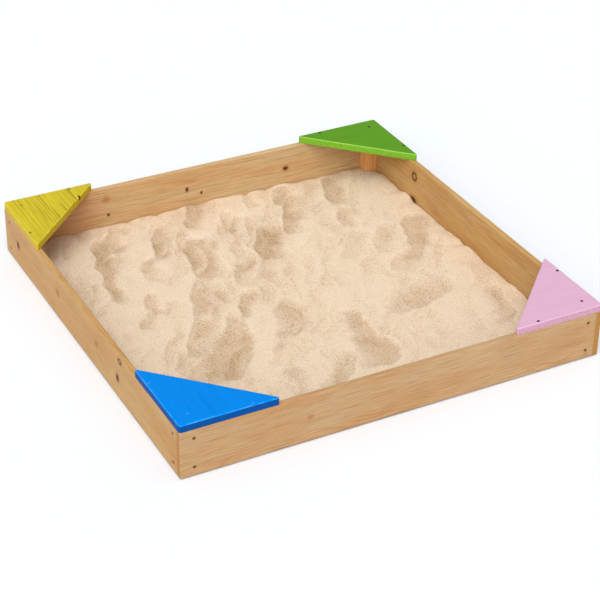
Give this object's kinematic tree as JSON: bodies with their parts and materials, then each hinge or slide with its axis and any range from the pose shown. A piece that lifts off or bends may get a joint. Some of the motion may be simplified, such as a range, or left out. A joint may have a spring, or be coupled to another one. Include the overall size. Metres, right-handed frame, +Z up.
{
  "type": "sandbox",
  "caption": "Low square wooden sandbox of boards on edge, with a painted triangular seat on each corner and a shallow layer of rippled sand, open on top and resting flat on the ground.",
  "frame": {"origin": "middle of the square frame's footprint, on the ground", "axes": "+Z up; the blue seat is at the -X, -Y corner, the pink seat at +X, -Y, the green seat at +X, +Y and the yellow seat at -X, +Y"},
  "size_m": [1.08, 1.08, 0.139],
  "materials": {
    "pine_boards": "planed pine with a thin clear glaze, satin",
    "pine_posts": "planed pine, bare, matte",
    "paint_blue": "thin satin paint over planed wood",
    "paint_pink": "thin satin paint over planed wood",
    "paint_green": "thin satin paint over planed wood",
    "paint_yellow": "thin satin paint over planed wood, grain showing",
    "screw_steel": "dull zinc plated steel",
    "sand": "fine dry pale sand, matte"
  },
  "bodies": {
    "root": {"front_board": "pine_boards", "right_board": "pine_boards", "back_board": "pine_boards", "left_board": "pine_boards", "post_front_left": "pine_posts", "post_front_right": "pine_posts", "post_back_right": "pine_posts", "post_back_left": "pine_posts", "seat_front_left": "paint_blue", "seat_front_right": "paint_pink", "seat_back_right": "paint_green", "seat_back_left": "paint_yellow", "board_screws": "screw_steel", "seat_screws": "screw_steel", "sand_fill": "sand"}
  },
  "joints": []
}
